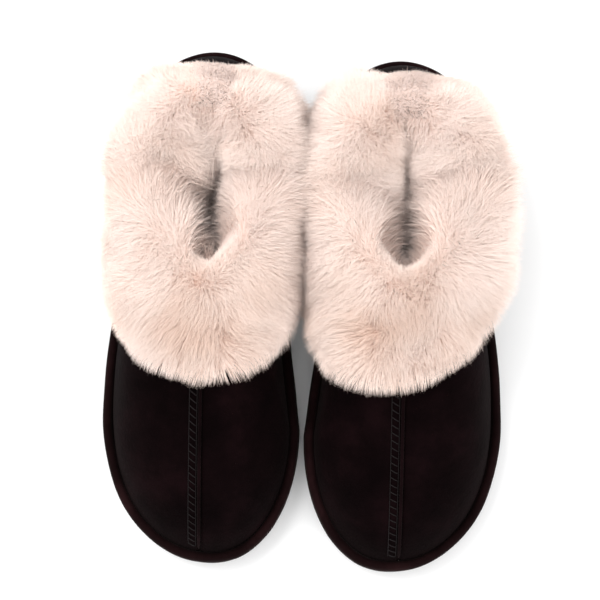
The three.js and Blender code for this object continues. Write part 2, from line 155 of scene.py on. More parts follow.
def half_outline(side):
    """One side of the sole outline from the back of the heel to the toe tip. side 1 is outer."""
    heel_y, toe_y = SOLE_LENGTH / 2, -SOLE_LENGTH / 2
    radius = HEEL_WIDTH / 2
    heel_side = np.array([side * radius - HEEL_SHIFT, heel_y - radius])
    ball = np.array([side * BALL_HALF[side], toe_y + BALL_TO_TOE[side]])
    toe = np.array([-TOE_TIP_SHIFT, toe_y])
    run = heel_side[1] - ball[1]
    waist = 0 if side > 0 else WAIST_HOLLOW
    turn = np.linspace(0, np.pi / 2, 400)
    arc = np.stack([side * radius * np.sin(turn) - HEEL_SHIFT, heel_side[1] + radius * np.cos(turn)], -1)
    waist_line = bezier(heel_side, heel_side - [0, run * 0.4], ball + [waist * 2, run * 0.4], ball)
    toe_line = bezier(
        ball, ball - [0, BALL_TO_TOE[side] * TOE_FULLNESS],
        np.array([toe[0] + (ball[0] - toe[0]) * TOE_FULLNESS, toe[1]]), toe)
    path = np.concatenate([arc, waist_line[1:], toe_line[1:]])
    length = np.concatenate([[0], np.cumsum(np.linalg.norm(np.diff(path, axis=0), axis=1))])
    return path, length


OUTLINES = {side: half_outline(side) for side in (1, -1)}
SEAM_SHIFT = SEAM_TOE_SHIFT / sum(length[-1] for _, length in OUTLINES.values())


def share_at(t):
    """The share of the way from the heel to the toe, on either side."""
    return 1 - np.abs(1 - 2 * np.mod(t, 1))


def outline_at(t):
    """t runs once round the outline: 0 at the heel, 0.25 on the outer side, 0.5 at the seam."""
    turn = np.mod(t - SEAM_SHIFT * smoothstep(share_at(t), 0.6, 1), 1)
    outer = turn <= 0.5
    share = np.where(outer, 2 * turn, 2 - 2 * turn)
    found = []
    for side in (1, -1):
        path, length = OUTLINES[side]
        found.append(np.stack([np.interp(share * length[-1], length, path[:, i]) for i in (0, 1)], -1))
    return np.where(outer[..., None], *found)


def inset_at(t, inset):
    """A point of the outline moved inwards."""
    t = np.asarray(t, float)
    along = unit(outline_at(t + 1e-3) - outline_at(t - 1e-3))
    point = outline_at(t)
    return np.stack([point[..., 0] + along[..., 1] * inset, point[..., 1] - along[..., 0] * inset], -1)


# ---- the upper's surface ----

def topline_at(t):
    turn = np.mod(t, 1)
    share = np.where(turn <= 0.5, 2 * turn, 2 - 2 * turn)
    eased = TOPLINE_PULL * share + (1 - TOPLINE_PULL) * (1 - (1 - share) ** 2)
    angle = np.where(turn <= 0.5, 1, -1) * np.pi * eased
    back, front = np.maximum(0, np.cos(angle)) ** 2, np.maximum(0, -np.cos(angle)) ** 2
    side = TOPLINE_HEIGHT["side"]
    height = side + (TOPLINE_HEIGHT["heel"] - side) * back + (TOPLINE_HEIGHT["front"] - side) * front
    return np.stack([
        TOPLINE_HALF * np.sin(angle) - HEEL_SHIFT / 2,
        (TOPLINE_BACK + TOPLINE_FRONT) / 2 + (TOPLINE_BACK - TOPLINE_FRONT) / 2 * np.cos(angle),
        height], -1)


def surface_at(t, s):
    """The suede's outer surface: s is 0 at the sole and 1 at the topline."""
    t, s = np.broadcast_arrays(np.asarray(t, float), np.asarray(s, float))
    toeward = smoothstep(share_at(t), 0.25, 0.8)
    lean = lerp(SIDE_LEAN, TOE_LEAN, toeward)
    flat = TOE_FLATNESS * toeward
    inwards = (1 - np.cos(s * lean)) / (1 - np.cos(lean))
    upwards = (1 - flat) * np.sin(s * lean) / np.sin(lean) + flat * inwards
    foot, top = inset_at(t, FEATHER_INSET), topline_at(t)
    return np.stack([
        lerp(foot[..., 0], top[..., 0], inwards),
        lerp(foot[..., 1], top[..., 1], inwards),
        lerp(FEATHER_HEIGHT, top[..., 2], upwards)], -1)


def along_outline(t, s):
    return (surface_at(t + 1e-3, s) - surface_at(t - 1e-3, s)) / 2e-3


def along_profile(t, s):
    return (surface_at(t, s + 1e-3) - surface_at(t, s - 1e-3)) / 2e-3


def normal_at(t, s):
    return unit(np.cross(along_profile(t, s), along_outline(t, s)))


def layer_at(t, s, depth):
    """A point at some depth under the suede's outer surface; a negative depth is outside it."""
    t, s, depth = np.broadcast_arrays(*(np.asarray(x, float) for x in (t, s, depth)))
    return surface_at(t, s) - normal_at(t, s) * depth[..., None]


def lining_depth(t):
    room = 1 - smoothstep(share_at(t), 0.22, 0.36)
    return SUEDE + GAP + room * (COUNTER + GAP)


def shell_depth(t):
    return lining_depth(t) + LINING


def place_below_topline(t, distance):
    """The place on the profile that lies some way down from the topline, along the surface."""
    t, distance = np.broadcast_arrays(np.asarray(t, float), np.asarray(distance, float))
    s = np.linspace(1, 0, 101)
    points = surface_at(t[:, None], s[None, :])
    steps = np.linalg.norm(np.diff(points, axis=1), axis=-1)
    gone = np.concatenate([np.zeros((len(t), 1)), np.cumsum(steps, axis=1)], axis=1)
    return np.array([np.interp(d, row, s) for d, row in zip(distance, gone)])


# ---- meshes ----

def put_down(points, side):
    """From one slipper's own frame, in millimetres, to the pair's frame, in metres."""
    placed = np.array(points, float)
    placed[..., 0] = side * (placed[..., 0] + HALF_SPACING)
    placed[..., 1] -= side * PAIR_STAGGER / 2
    return placed * MM


def mesh_from(name, points, faces, side, smooth=True):
    """A mesh object from arrays. faces is an array of triangles or quads, or a list of such arrays."""
    mesh = bpy.data.meshes.new(name)
    groups = [np.asarray(f) for f in (faces if isinstance(faces, list) else [faces]) if len(f)]
    groups = [f[:, ::-1] if side < 0 else f for f in groups]
    placed = put_down(points, side).reshape(-1, 3)
    loops = np.concatenate([f.ravel() for f in groups])
    sizes = np.concatenate([np.full(len(f), f.shape[1]) for f in groups])
    mesh.vertices.add(len(placed))
    mesh.vertices.foreach_set("co", placed.ravel().astype(np.float32))
    mesh.loops.add(len(loops))
    mesh.loops.foreach_set("vertex_index", loops.astype(np.int32))
    mesh.polygons.add(len(sizes))
    starts = np.concatenate([[0], np.cumsum(sizes)[:-1]])
    mesh.polygons.foreach_set("loop_start", starts.astype(np.int32))
    mesh.update(calc_edges=True)
    mesh.polygons.foreach_set("use_smooth", np.full(len(sizes), smooth))
    mesh.validate()
    piece = bpy.data.objects.new(name, mesh)
    bpy.context.scene.collection.objects.link(piece)
    return piece


def signed_volume(points, faces):
    p = points.reshape(-1, 3)
    total = 0.0
    for f in faces:
        for k in range(1, f.shape[1] - 1):
            total += np.einsum("ij,ij->", p[f[:, 0]], np.cross(p[f[:, k]], p[f[:, k + 1]]))
    return total


def loft(sections, ring=False, cap="layer"):
    """Joins sections of equal point count, as an array (sections, points, 3), into one closed solid."""
    sections = np.asarray(sections, float)
    count, around = sections.shape[:2]
    i = np.arange(count if ring else count - 1)[:, None]
    j = np.arange(around)[None, :]
    here, there, k = i * around, ((i + 1) % count) * around, (j + 1) % around
    quads = np.stack([here + j, here + k, there + k, there + j], -1).reshape(-1, 4)
    faces = [quads]
    if not ring:
        end = (count - 1) * around
        if cap == "layer":
            a = np.arange(around // 2 - 1)
            pairs = np.stack([a, a + 1, around - 2 - a, around - 1 - a], -1)
        else:
            a = np.arange(1, around - 1)
            pairs = np.stack([np.zeros_like(a), a, a + 1], -1)
        faces += [pairs[:, ::-1], end + pairs]
    if signed_volume(sections, faces) < 0:
        faces = [f[:, ::-1] for f in faces]
    return sections.reshape(-1, 3), faces


def joined(solids):
    """Several solids as one set of points and faces."""
    points, faces, start = [], [], 0
    for p, fs in solids:
        points.append(p)
        faces += [f + start for f in fs]
        start += len(p)
    by_size = {}
    for f in faces:
        by_size.setdefault(f.shape[1], []).append(f)
    return np.concatenate(points), [np.concatenate(f) for f in by_size.values()]


def register_piece(piece, prefix, material, replaced=()):
    piece.data.materials.clear()
    piece.data.materials.append(material)
    for node in replaced:
        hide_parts(f"{prefix}_{node}")
    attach(piece, f"{prefix}_slipper")
    return piece


def stack(loops):
    """A plate or block of level loops, lowest first. Its flat ends are fans about a middle point."""
    loops = np.asarray(loops, float)
    count, around = loops.shape[:2]
    points = loops.reshape(-1, 3)
    i, j = np.arange(count - 1)[:, None], np.arange(around)[None, :]
    k = (j + 1) % around
    quads = np.stack([i * around + j, i * around + k, (i + 1) * around + k, (i + 1) * around + j], -1)
    middles = np.array([loops[0].mean(0), loops[-1].mean(0)])
    a, b = np.arange(around), (np.arange(around) + 1) % around
    low = np.stack([np.full(around, len(points)), b, a], -1)
    last = (count - 1) * around
    high = np.stack([np.full(around, len(points) + 1), last + a, last + b], -1)
    points = np.concatenate([points, middles])
    faces = [quads.reshape(-1, 4), np.concatenate([low, high])]
    if signed_volume(points, faces) < 0:
        faces = [f[:, ::-1] for f in faces]
    return points, faces


def rounds():
    return np.arange(ROUND_STEPS) / ROUND_STEPS


def level_loop(inset, height):
    flat = inset_at(rounds(), inset)
    return np.concatenate([flat, np.full((ROUND_STEPS, 1), height)], -1)


def wall_loop(height, clear=0.8):
    """A level loop that follows the inside of the lining."""
    t = rounds()
    s = np.linspace(0, 1, 61)
    wall = layer_at(t[:, None], s[None, :], shell_depth(t)[:, None])
    at = np.array([[np.interp(height, row[:, 2], row[:, i]) for i in (0, 1)] for row in wall])
    inwards = -normal_at(t, 0)[:, :2]
    at = at + unit(inwards) * clear
    return np.concatenate([at, np.full((len(t), 1), height)], -1)


# ---- materials ----

class Finish:
    """A node material built up from noise layers in the object's own coordinates."""

    def __init__(self, name, roughness=0.9, gloss=0.3, **sockets):
        self.material = bpy.data.materials.new(name)
        self.material.use_nodes = True
        self.nodes, self.links = self.material.node_tree.nodes, self.material.node_tree.links
        self.shader = next(n for n in self.nodes if n.type == "BSDF_PRINCIPLED")
        self.shader.inputs["Roughness"].default_value = roughness
        self.shader.inputs["Specular IOR Level"].default_value = gloss
        for socket, value in sockets.items():
            self.shader.inputs[socket.replace("_", " ")].default_value = value
        self.place = self.nodes.new("ShaderNodeTexCoord").outputs["Object"]
        self.height = None

    def noise(self, per_metre, detail=4.0, rough=0.55, stretch=None):
        node = self.nodes.new("ShaderNodeTexNoise")
        node.inputs["Scale"].default_value = per_metre
        node.inputs["Detail"].default_value = detail
        node.inputs["Roughness"].default_value = rough
        source = self.place
        if stretch:
            mapping = self.nodes.new("ShaderNodeMapping")
            mapping.inputs["Scale"].default_value = stretch
            self.links.new(source, mapping.inputs["Vector"])
            source = mapping.outputs["Vector"]
        self.links.new(source, node.inputs["Vector"])
        return node.outputs["Fac"]

    def cells(self, per_metre):
        node = self.nodes.new("ShaderNodeTexVoronoi")
        node.inputs["Scale"].default_value = per_metre
        self.links.new(self.place, node.inputs["Vector"])
        return node.outputs["Distance"]

    def ramp(self, factor, stops):
        node = self.nodes.new("ShaderNodeValToRGB")
        ramp = node.color_ramp
        while len(ramp.elements) < len(stops):
            ramp.elements.new(0.5)
        for element, (at, colour) in zip(ramp.elements, stops):
            element.position = at
            element.color = (*colour, 1)
        self.links.new(factor, node.inputs["Fac"])
        return node.outputs["Color"]

    def mix(self, factor, a, b, blend="MIX"):
        node = self.nodes.new("ShaderNodeMix")
        node.data_type = "RGBA"
        node.blend_type = blend
        for value, socket in ((factor, node.inputs[0]), (a, node.inputs[6]), (b, node.inputs[7])):
            if isinstance(value, bpy.types.NodeSocket):
                self.links.new(value, socket)
            else:
                socket.default_value = value if isinstance(value, float) else (*value, 1)
        return node.outputs[2]

    def colour(self, socket):
        self.links.new(socket, self.shader.inputs["Base Color"])
        return self

    def roughened(self, factor, low, high):
        node = self.nodes.new("ShaderNodeMapRange")
        node.inputs["To Min"].default_value = low
        node.inputs["To Max"].default_value = high
        self.links.new(factor, node.inputs["Value"])
        self.links.new(node.outputs["Result"], self.shader.inputs["Roughness"])
        return self

    def embossed(self, factor, depth_mm, strength=1.0):
        node = self.nodes.new("ShaderNodeBump")
        node.inputs["Distance"].default_value = depth_mm * MM
        node.inputs["Strength"].default_value = strength
        self.links.new(factor, node.inputs["Height"])
        if self.height:
            self.links.new(self.height, node.inputs["Normal"])
        self.height = node.outputs["Normal"]
        self.links.new(self.height, self.shader.inputs["Normal"])
        return self


def shade(colour, amount):
    return tuple(min(1.0, c * amount) for c in colour)


def suede_finish(name, colour, sheen):
    """Brushed nap: cloudy where it was stroked, with fine fibres and a soft edge gloss."""
    f = Finish(name, gloss=0.02, Sheen_Weight=sheen, Sheen_Roughness=0.45)
    f.shader.inputs["Sheen Tint"].default_value = (0.75, 0.6, 0.58, 1)
    cloud = f.noise(38, detail=6, rough=0.62)
    fibres = f.noise(2600, detail=3, stretch=(1, 0.35, 1))
    stroked = f.ramp(cloud, [(0.36, shade(colour, 0.3)), (0.52, colour), (0.66, shade(colour, 2.2))])
    f.colour(f.mix(fibres, stroked, f.mix(0.5, stroked, shade(colour, 1.8)), "MIX"))
    f.roughened(cloud, 0.95, 0.74)
    return f.embossed(fibres, 0.12, 0.6).embossed(f.noise(520, detail=5), 0.4, 0.8)


def fleece_finish(name, colour):
    f = Finish(name, Sheen_Weight=0.35, Sheen_Roughness=0.5)
    curls = f.cells(420)
    f.colour(f.ramp(curls, [(0.0, shade(colour, 1.12)), (0.45, colour), (0.9, shade(colour, 0.62))]))
    f.roughened(curls, 0.85, 1.0)
    return f.embossed(curls, 1.1, 0.8).embossed(f.noise(1500), 0.3, 0.6)


def plain_finish(name, colour, per_metre, contrast, depth, roughness):
    f = Finish(name, roughness, gloss=0.15)
    grain = f.noise(per_metre, detail=6)
    f.colour(f.ramp(grain, [(0.3, shade(colour, 1 - contrast)), (0.7, shade(colour, 1 + contrast))]))
    f.roughened(grain, roughness, min(1.0, roughness + 0.12))
    return f.embossed(grain, depth, 0.6)


def pile_finish(name, root, tip):
    """Long fibres. Across the map runs each fibre's own tint, and up it the way from root to tip."""
    f = Finish(name, 0.62, gloss=0.25, Sheen_Weight=0.3, Sheen_Roughness=0.4)
    uv = f.nodes.new("ShaderNodeUVMap")
    uv.uv_map = "OFBake"
    parts = f.nodes.new("ShaderNodeSeparateXYZ")
    f.links.new(uv.outputs["UV"], parts.inputs["Vector"])
    # The roots are painted darker and redder than the tips: painted shade deep in the pile.
    up = f.ramp(parts.outputs["Y"], [(0.0, root), (0.45, lerp_colour(root, tip, 0.7)), (0.85, tip)])
    # Fibres of low tint, mostly the painted shade on the middle of the instep, take the ramp's darker end.
    tint = f.ramp(parts.outputs["X"], [
        (0.0, (0.82, 0.72, 0.65)), (0.5, (0.96, 0.94, 0.92)), (1.0, (1, 1, 1))])
    f.colour(f.mix(1.0, up, tint, "MULTIPLY"))
    f.roughened(parts.outputs["Y"], 0.75, 0.55)
    return f


def lerp_colour(a, b, share):
    return tuple(lerp(x, y, share) for x, y in zip(a, b))


# ---- sizes and colours that a user changes ----

def colour_property(name, description, default):
    return FloatVectorProperty(name=name, description=description, subtype="COLOR", size=3,
                               min=0, max=1, default=default)


class SlipperSizes(bpy.types.PropertyGroup):
    pile_length: FloatProperty(
        name="Pile length", description="Length of the collar's long fibres, in metres",
        default=0.0165, min=0.005, max=0.04, unit="LENGTH", subtype="DISTANCE")
    fibre_width: FloatProperty(
        name="Fibre width", description="Thickness of one lock of fibres at its root, in metres",
        default=0.00023, min=0.0001, max=0.001, unit="LENGTH", subtype="DISTANCE")
    fibre_count: IntProperty(
        name="Fibres per slipper", description="Number of fibres in one slipper's collar",
        default=120000, min=1000, max=200000)
    stitch_pitch: FloatProperty(
        name="Stitch pitch", description="Distance from one rung of the seam to the next, in metres",
        default=0.0038, min=0.001, max=0.01, unit="LENGTH", subtype="DISTANCE")


class SlipperColours(bpy.types.PropertyGroup):
    pile_tip: colour_property("Pile tips", "Colour of the fibres' tips", (1.0, 0.84, 0.765))
    # The roots' colour is darker and redder than the tips' colour, as painted shade deep in the pile.
    pile_root_shade: colour_property("Pile roots", "Colour of the fibres' roots", (0.95, 0.66, 0.55))
    suede: colour_property("Suede", "Colour of the brushed upper", (0.0022, 0.0007, 0.0009))
    band: colour_property("Band", "Colour of the rim round the sole", (0.006, 0.0022, 0.0024))
    lining: colour_property("Lining", "Colour of the short curly lining", (0.95, 0.78, 0.72))
    thread: colour_property("Thread", "Colour of the seam's thread", (0.005, 0.0028, 0.003))
    rubber: colour_property("Outsole", "Colour of the moulded outsole", (0.007, 0.005, 0.005))
    floor: colour_property("Floor", "Colour of the floor", (0.9, 0.9, 0.9))


# ---- the pieces ----

TREAD_MARGIN = 8.0  # the grooves stop this far inside the sole's edge
PLAIN_WAIST = (2, 42)  # no grooves where the sole arches, along Y
SOLE_ROUNDING = 1.4


def tread_bars():
    """The zigzag grooves as bars that stick out below the sole."""
    pitch, width, wave, depth = 9.0, 2.6, 3.0, 2.0
    loop = level_loop(TREAD_MARGIN, 0)
    bars = []
    y = -SOLE_LENGTH / 2 + 2 * pitch
    while y < SOLE_LENGTH / 2 - 1.5 * pitch:
        if not PLAIN_WAIST[0] < y < PLAIN_WAIST[1]:
            nxt = np.roll(loop, -1, axis=0)
            cross = (loop[:, 1] - y) * (nxt[:, 1] - y) < 0
            share = (y - loop[cross, 1]) / (nxt[cross, 1] - loop[cross, 1])
            left, right = np.sort(lerp(loop[cross, 0], nxt[cross, 0], share))[[0, -1]]
            x = np.linspace(left, right, 9)
            zig = y + np.where(np.arange(9) % 2 == 0, -wave / 2, wave / 2)
            bars.append(loft([[
                (a, b - width / 2, -depth), (a, b + width / 2, -depth),
                (a, b + width / 2, depth), (a, b - width / 2, depth)] for a, b in zip(x, zig)]))
        y += pitch
    return joined(bars)


def outsole_piece(prefix, side, material):
    """The moulded sole with its tread cut into the underside."""
    turn = np.linspace(0, np.pi / 2, 6)
    loops = [level_loop(SOLE_ROUNDING * (1 - math.sin(a)), SOLE_ROUNDING * (1 - math.cos(a))) for a in turn]
    crease = [(0, 3.4), (0.25, 3.7), (0, 4.0)]  # a fine line round the sole, as (inset, height)
    loops += [level_loop(inset, height) for inset, height in crease + [(0, OUTSOLE_HEIGHT)]]
    sole = mesh_from(f"{prefix}_outsole_tread", *stack(loops), side, smooth=False)
    cutter = mesh_from(f"{prefix}_tread_cutter", *tread_bars(), side, smooth=False)
    cut = sole.modifiers.new("Tread", "BOOLEAN")
    cut.operation, cut.solver, cut.object = "DIFFERENCE", "EXACT", cutter
    evaluated = sole.evaluated_get(bpy.context.evaluated_depsgraph_get())
    mesh = bpy.data.meshes.new_from_object(evaluated)
    sole.modifiers.clear()
    sole.data = mesh
    bpy.data.objects.remove(cutter)
    return register_piece(sole, prefix, material, ["outsole"])


def band_piece(prefix, side, material):
    """The padded rim: an upright wall with a rounded lip and a creased line inside it."""
    low, high = BAND_BOX[0][2], BAND_BOX[1][2]
    width, lip, unevenness = 5.4, 3.2, 0.12
    outer = [(0.25, low), (0.0, low + 0.6), (-0.1, low + 4), (0.0, low + 8), (0.1, high - lip - 0.6)]
    turn = np.linspace(0, np.pi, 13)
    lip_line = [(width / 2 - 0.5 * (width - 0.5) * math.cos(a), high - lip + lip * math.sin(a)) for a in turn]
    inner = [(width, high - lip - 0.6), (width, low)]
    t = rounds()
    wobble = Waves(31, 26)(level_loop(0, 0)) * unevenness
    columns = []
    for inset, h in outer + lip_line + inner:
        at = inset_at(t, np.maximum(inset + wobble * (h > low + 1), -0.2))
        columns.append(np.concatenate([at, np.full((len(t), 1), h)], -1))
    sections = np.stack(columns, axis=1)
    sections[..., 2] = np.minimum(sections[..., 2], high)
    piece = mesh_from(f"{prefix}_foxing_rim", *loft(sections, ring=True), side)
    return register_piece(piece, prefix, material, ["foxing_band"])


COVER_CROWN = 0.8  # how much higher the cover's middle is than its edge


def cover_piece(prefix, side, material):
    """The footbed's fleece cover, a little crowned where no foot has pressed it."""
    low, high = COVER_BOX[0][2], COVER_BOX[1][2]
    floor, rim = wall_loop(low), wall_loop(high - COVER_CROWN)
    middle = floor[:, :2].mean(0)
    loops = [floor, rim]
    for share in (0.985, 0.95, 0.85, 0.7, 0.5, 0.3, 0.12):  # of the way out from the middle
        loop = rim.copy()
        loop[:, :2] = middle + (loop[:, :2] - middle) * share
        loop[:, 2] = high - COVER_CROWN * share ** 8 + 0.25 * Waves(5, 22)(loop) * (1 - share)
        loops.append(loop)
    piece = mesh_from(f"{prefix}_footbed_fleece_cover", *stack(loops), side)
    return register_piece(piece, prefix, material, ["footbed_cover"])


SUEDE_UNEVENNESS = 0.12


def panel(start, end, outer_depth, inner_depth, low=0.0, high=1.0, relief=None):
    """One layer of the upper between two depths, from one place round it to another."""
    count = max(8, int(ROUND_STEPS * (end - start)))
    s = np.linspace(low, high, PROFILE_STEPS)
    rows = []
    for share in np.linspace(0, 1, count):
        t = np.full(len(s), lerp(start, end, share))
        edge = SEAM_GAP / 2 / np.linalg.norm(along_outline(t, s), axis=-1)
        t = t + edge * (1 - 2 * share) * (share in (0.0, 1.0))
        outer = outer_depth(t) + (relief(t, s) if relief else 0)
        rows.append(np.concatenate([layer_at(t, s, outer), layer_at(t, s, inner_depth(t))[::-1]]))
    return loft(rows)


def seam_relief(t, s):
    """The suede dips into the centre seam, and is a little uneven elsewhere."""
    away = np.abs(t - 0.5) * np.linalg.norm(along_outline(t, s), axis=-1)
    return 0.7 * bump(away, 0, 1.1) + SUEDE_UNEVENNESS * (Waves(61, 34)(surface_at(t, s)) + 1)


def upper_pieces(prefix, side, suede, lining):
    """The suede panels and heel stay, and the fleece linings inside them."""
    flat = lambda depth: (lambda t: np.full(np.shape(t), depth))
    made = []
    for name, node, start, end in (
            ("vamp_outer_half", "vamp_lateral", VAMP_SEAM, 0.5),
            ("vamp_inner_half", "vamp_medial", 0.5, 1 - VAMP_SEAM),
            ("quarter_outer", "quarter_lateral", 0.0, VAMP_SEAM),
            ("quarter_inner", "quarter_medial", -VAMP_SEAM, 0.0)):
        relief = seam_relief if "vamp" in name else None
        solid = panel(start, end, flat(0.0), flat(SUEDE), relief=relief)
        piece = mesh_from(f"{prefix}_{name}", *solid, side)
        made.append(register_piece(piece, prefix, suede, [node]))
    stay = STAY_HALF_WIDTH / np.linalg.norm(along_outline(np.array([0.0]), np.array([0.0])))
    solid = panel(-stay, stay, flat(-GAP - STAY_THICKNESS), flat(-GAP), low=0.2, high=0.9)
    piece = mesh_from(f"{prefix}_heel_stay", *solid, side)
    made.append(register_piece(piece, prefix, suede, ["back_stay"]))
    for name, node, start, end in (
            ("vamp_fleece", "vamp_lining", VAMP_SEAM, 1 - VAMP_SEAM),
            ("quarter_fleece", "quarter_lining", -VAMP_SEAM, VAMP_SEAM)):
        piece = mesh_from(f"{prefix}_{name}", *panel(start, end, lining_depth, shell_depth), side)
        made.append(register_piece(piece, prefix, lining, [node]))
    return made


def wrap_at(t, reach, tuck, outside, over):
    """Points that go up the outside, over the topline and down inside, at the suede's surface, with
    the direction away from it. Both are arrays (places round, places along, 3)."""
    t = np.asarray(t, float)
    low, inside = place_below_topline(t, reach), place_below_topline(t, tuck)
    s = lerp(low[:, None], 1.0, (np.arange(outside) / outside)[None, :])
    tt = np.broadcast_to(t[:, None], s.shape)
    points, outs = [surface_at(tt, s)], [normal_at(tt, s)]
    out, onwards = normal_at(t, 1.0), unit(along_profile(t, 1.0))
    half = shell_depth(t)[:, None, None] / 2
    middle = surface_at(t, 1.0)[:, None] - out[:, None] * half
    turn = (np.pi * np.arange(over + 1) / over)[None, :, None]
    away = np.cos(turn) * out[:, None] + np.sin(turn) * onwards[:, None]
    points.append(middle + away * half)
    outs.append(away)
    steps = np.array([0.5, 1.0])
    deep = lerp(1.0, inside[:, None], steps[None, :])
    tt = np.broadcast_to(t[:, None], deep.shape)
    points.append(layer_at(tt, deep, shell_depth(tt) + TUCK_CLEAR * steps))
    outs.append(-normal_at(tt, deep))
    return np.concatenate(points, 1), np.concatenate(outs, 1)


TAPE_REACH, TAPE_THICKNESS = 5.0, 1.0


def binding_piece(prefix, side, material):
    """The tape that binds the topline, and that the collar is sewn to."""
    t = rounds()
    points, outs = wrap_at(t, TAPE_REACH, TAPE_REACH, 3, 12)
    sections = np.concatenate([points + outs * (GAP + TAPE_THICKNESS), (points + outs * GAP)[:, ::-1]], 1)
    piece = mesh_from(f"{prefix}_topline_tape", *loft(sections, ring=True), side)
    return register_piece(piece, prefix, material, ["topline_binding"])


def seam_places(pitch):
    """Places up the profile that the centre seam runs through, a steady distance apart."""
    s, places = SEAM_START + 0.01, []
    while s < SEAM_END:
        places.append(s)
        s += pitch / np.linalg.norm(along_profile(np.array([0.5]), np.array([s])))
    return np.array(places)


def on_seam(s, across):
    s, across = np.broadcast_arrays(np.asarray(s, float), np.asarray(across, float))
    t = 0.5 - across / np.linalg.norm(along_outline(np.full(s.shape, 0.5), s), axis=-1)
    return surface_at(t, s), normal_at(t, s)


def tube(path, out, radius_across, radius_up, lift, sides=6):
    """A bar of oval section along a path on the suede, with rounded ends."""
    along = unit(np.gradient(path, axis=0))
    sideways = unit(np.cross(along, out))
    ends = np.sqrt(np.clip(1 - np.abs(np.linspace(-1, 1, len(path))) ** 8, 0.06, 1))[:, None]
    turn = 2 * np.pi * np.arange(sides) / sides
    rows = [path + sideways * (radius_across * math.cos(a)) * ends
            + out * (lift + radius_up + radius_up * math.sin(a) * ends) for a in turn]
    return loft(np.stack(rows, 1), cap="fan")


SEAM_START, SEAM_END = 0.13, 0.9  # up the profile, from the sole to under the cuff
RIDGE_HALF, RIDGE_OFF_CENTRE = 1.1, 0.3
LADDER_NEAR, LADDER_FAR = RIDGE_OFF_CENTRE + RIDGE_HALF + 0.5, RIDGE_OFF_CENTRE + RIDGE_HALF + 4.4


def seam_pieces(prefix, side, suede, thread, pitch):
    """The raised ridge of the centre seam and the slanted rungs of thread beside it."""
    path, out = on_seam(np.linspace(SEAM_START, SEAM_END, 120), -side * RIDGE_OFF_CENTRE)
    bar = tube(path, out, radius_across=0.85, radius_up=0.62, lift=GAP * 0.3, sides=10)
    ridge = mesh_from(f"{prefix}_seam_ridge", *bar, side)
    register_piece(ridge, prefix, suede, ["centre_welt"])
    rungs = []
    places = seam_places(pitch)
    for here, there in zip(places[:-1], places[1:]):
        share = np.linspace(0, 1, 7)
        s_run = lerp(here, lerp(here, there, 0.55), share)
        points, away = on_seam(s_run, -side * lerp(LADDER_NEAR, LADDER_FAR, share))
        arched = points + away * (0.25 * np.sin(np.pi * share))[:, None]
        rungs.append(tube(arched, away, radius_across=0.3, radius_up=0.26, lift=0.02))
    for edge in (LADDER_NEAR, LADDER_FAR):
        s_run = np.linspace(places[0], places[-1], 150)
        points, away = on_seam(s_run, -side * edge)
        rungs.append(tube(points, away, radius_across=0.2, radius_up=0.18, lift=0.02))
    stitches = mesh_from(f"{prefix}_seam_stitches", *joined(rungs), side)
    register_piece(stitches, prefix, thread, ["centre_stitching"])


# ---- the plush collar ----

CUFF_THICK, ROLL_THICK, HEEL_ROLL_THICK, TIP_THICK = 13.0, 12.0, 7.5, 2.0
CUFF_REACH, ROLL_REACH, HEEL_ROLL_REACH, COLLAR_TUCK = 40.0, 34.0, 26.0, 8.0
FRINGE = 1.5  # the cuff's backing stops this much higher, and its lowest fibres cover the rest
HEEL_BARE = 8.0  # the fleece stops this much higher at the back of the heel
SKIN_SHARE = 0.5  # of the collar's thickness that its backing and dense underfur take
CREST_AT = 0.52  # where the collar's crest is on the way w up the outside, 0, and down the inside, 1
PLACES_ROUND, PLACES_OUTSIDE, PLACES_OVER = 520, 20, 18  # the collar's grid


def heel_share(t):
    return 1 - smoothstep(share_at(t), 0, 0.25)


def front_share(t):
    return bump(t, 0.5, 0.15)


class Slit:
    """What the two rolls leave open between them: a crease from the heel that widens towards the front."""

    def __init__(self, middle, bend, front, back, width):
        self.middle, self.bend, self.front, self.back, self.width = middle, bend, front, back, width

    def centre(self, y):
        """Where the crease runs; it bends aside a little near its back end."""
        return self.middle + self.bend * bump(y, self.back, 16)

    def half(self, y):
        """Half its width: round at the front and drawn together towards the heel."""
        round_front = np.sqrt(np.clip((y - self.front) / 7, 0, 1))
        return self.width / 2 * round_front * (1 - smoothstep(y, self.front + 14, self.back)) + 0.2

    def distance(self, root, up, open_share):
        """How far it is from each root to the slit's edge, level and the way that the root points."""
        level = unit(up * [1, 1, 0] + 1e-6)
        far = np.full(len(root), MOUTH_PILE_MOST)
        side_of = np.sign(root[:, 0] - self.centre(root[:, 1]))
        for step in np.arange(MOUTH_PILE_MOST, 0, -0.5):
            at = root + level * step
            past = side_of * (at[:, 0] - self.centre(at[:, 1])) < self.half(at[:, 1]) * open_share
            far = np.where(past & (at[:, 1] > self.front), step, far)
        return far


class Plush:
    """What one slipper's collar has of its own, because the two are cut and brushed differently.

    corner and inner are how much shorter the cuff is at its outer corner, and longer on its inner side.
    lap_at is the place round the outline where the cuff's pile laps over the outer roll. bulge is where
    the inner side is fullest along Y, with its spread. brushed gives the outer side's fuller stretches,
    as (where along Y, spread, share by which the pile is longer).
    """

    def __init__(self, seed, corner, inner, lap_at, bulge, brushed, slit):
        self.seed, self.corner, self.inner, self.lap_at = seed, corner, inner, lap_at
        self.bulge, self.brushed, self.slit = bulge, brushed, slit


PLUSHES = {
    "left": Plush(seed=100, corner=14.0, inner=2.5, lap_at=0.18, bulge=(98, 20),
                  brushed=((32, 18, 0.5), (98, 18, 0.45), (64, 12, -0.22), (8, 18, 0.3)),
                  slit=Slit(middle=-1.5, bend=0.0, front=20, back=70, width=30)),
    "right": Plush(seed=500, corner=3.0, inner=-4.0, lap_at=0.195, bulge=(90, 14),
                   brushed=((62, 22, -0.3), (106, 16, 0.6)),
                   slit=Slit(middle=-7.0, bend=-4.0, front=17, back=78, width=24)),
}


